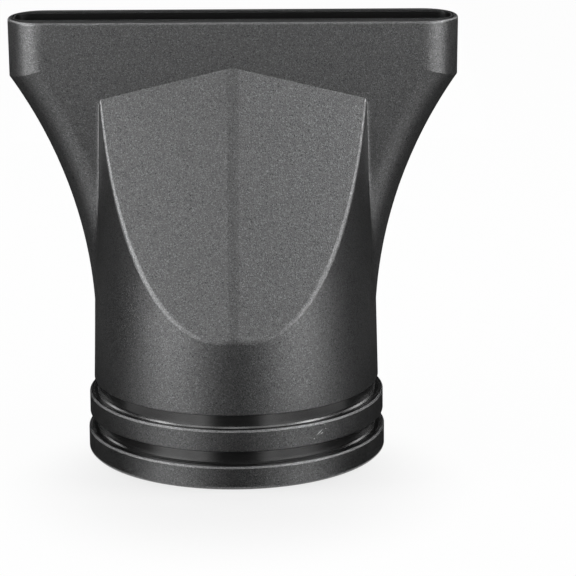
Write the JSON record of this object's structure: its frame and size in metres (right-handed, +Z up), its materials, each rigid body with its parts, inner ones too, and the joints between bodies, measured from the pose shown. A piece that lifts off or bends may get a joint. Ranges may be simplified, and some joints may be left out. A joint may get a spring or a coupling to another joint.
{
  "type": "hair dryer concentrator nozzle",
  "caption": "Push-on air nozzle: a ringed round collar and body with sloping facets runs up into a flat flared fan with a long narrow slot.",
  "frame": {"origin": "centre of the collar's open end, on the face that the nozzle stands on", "axes": "+Z up the bore axis towards the slot, X along the slot, Y across it through the two facets"},
  "size_m": [0.0784, 0.053, 0.078],
  "materials": {
    "charcoal_plastic": "fine spark-eroded grain, satin, with smooth groove floors"
  },
  "bodies": {
    "root": {"nozzle_shell": "charcoal_plastic"}
  },
  "joints": []
}
